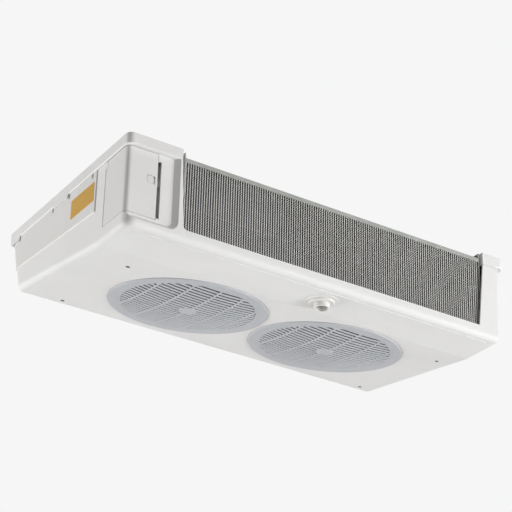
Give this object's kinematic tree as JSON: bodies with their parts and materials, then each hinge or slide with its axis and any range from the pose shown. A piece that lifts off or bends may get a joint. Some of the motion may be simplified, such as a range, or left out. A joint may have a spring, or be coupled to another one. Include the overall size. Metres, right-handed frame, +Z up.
{
  "type": "walk-in unit cooler",
  "caption": "Low ceiling-mounted unit cooler: finned coil along the front, domed fan grilles in a sloping underside, drip trough with drain, swing-down casing and hinged service cover.",
  "frame": {"origin": "centre of the flat ceiling face on top of the unit", "axes": "+Z up into the ceiling, +X along the unit to the end away from the service cover, +Y from the air outlet at the coil to the back"},
  "size_m": [0.835, 0.4815, 0.1944],
  "materials": {
    "case_white": "smooth moulded off-white",
    "collar_white": "smooth moulded off-white",
    "cover_white": "smooth moulded off-white",
    "panel_white": "satin white coating",
    "guard_grey": "smooth light blue-grey",
    "ring_dark": "black, matt",
    "rotor_dark": "dark grey, matt",
    "motor_dark": "black painted die casting",
    "fin_alu": "thin bare sheet, slightly dull",
    "sheet_alu": "mill finish sheet",
    "galv": "galvanised",
    "steel": "zinc plated",
    "copper": "bare copper",
    "seal_brown": "brown foam strip",
    "rubber_black": "black, matt",
    "amber": "blank amber film",
    "drain_white": "smooth white",
    "clip_grey": "spring steel",
    "latch_white": "smooth white",
    "box_grey": "light grey",
    "block_cream": "cream",
    "lead_black": "black cable sheath"
  },
  "bodies": {
    "ceiling_frame": {"top_plate": "sheet_alu", "top_collar": "collar_white", "top_baffle": "sheet_alu", "coil_fin_pack": "fin_alu", "coil_tubes": "copper", "coil_end_plate_left": "sheet_alu", "coil_end_plate_right": "sheet_alu", "end_plate_screws": "steel", "return_bends": "copper", "coil_bottom_seal": "seal_brown", "suction_header": "copper", "suction_line": "copper", "liquid_header": "copper", "liquid_line": "copper", "pipe_grommets": "rubber_black", "cable_gland": "ring_dark", "support_posts": "galv", "hinge_brackets": "galv", "hinge_pins": "steel"},
    "fan_tray": {"lower_casing": "case_white", "side_panel": "panel_white", "side_panel_clips": "clip_grey", "blank_plate": "amber", "drip_tray_liner": "sheet_alu", "drain_spout": "drain_white", "drain_gasket": "rubber_black", "drain_nut": "drain_white", "fan_guard_left": "guard_grey", "fan_guard_right": "guard_grey", "inlet_ring_left": "ring_dark", "inlet_ring_right": "ring_dark", "guard_screws": "steel", "motor_bracket_left": "galv", "motor_bracket_right": "galv", "bracket_screws": "steel", "motor_left": "motor_dark", "motor_right": "motor_dark", "motor_screws": "steel", "casing_screws": "steel", "terminal_box": "box_grey", "terminal_lid": "box_grey", "terminal_block": "block_cream", "motor_lead_left": "lead_black", "motor_lead_right": "lead_black", "hinge_leaves": "galv", "cover_hinge_pins": "steel"},
    "cover_body": {"access_cover": "cover_white"},
    "latch_body": {"cover_latch": "latch_white"},
    "rotor_left": {"fan_rotor_left": "rotor_dark", "motor_shaft_left": "steel"},
    "rotor_right": {"fan_rotor_right": "rotor_dark", "motor_shaft_right": "steel"}
  },
  "joints": [
    {"name": "tray_hinge", "type": "hinge", "parent": "ceiling_frame", "child": "fan_tray", "pos_m": [0, 0.2165, -0.0337], "axis": [1, 0, 0], "range_deg": [0, 60]},
    {"name": "cover_hinge", "type": "hinge", "parent": "fan_tray", "child": "cover_body", "pos_m": [-0.4105, -0.1513, -0.0907], "axis": [0, 0, 1], "range_deg": [-90, 0]},
    {"name": "latch_press", "type": "slide", "parent": "cover_body", "child": "latch_body", "axis": [0, 1, 0], "range_m": [0, 0.0025], "stiffness_N_per_m": 300},
    {"name": "rotor_left_spin", "type": "hinge", "parent": "fan_tray", "child": "rotor_left", "pos_m": [-0.1404, 0.0177, -0.15886], "axis": [0, -0.144, 0.9896], "continuous": true},
    {"name": "rotor_right_spin", "type": "hinge", "parent": "fan_tray", "child": "rotor_right", "pos_m": [0.1694, 0.0177, -0.15886], "axis": [0, -0.144, 0.9896], "continuous": true}
  ]
}
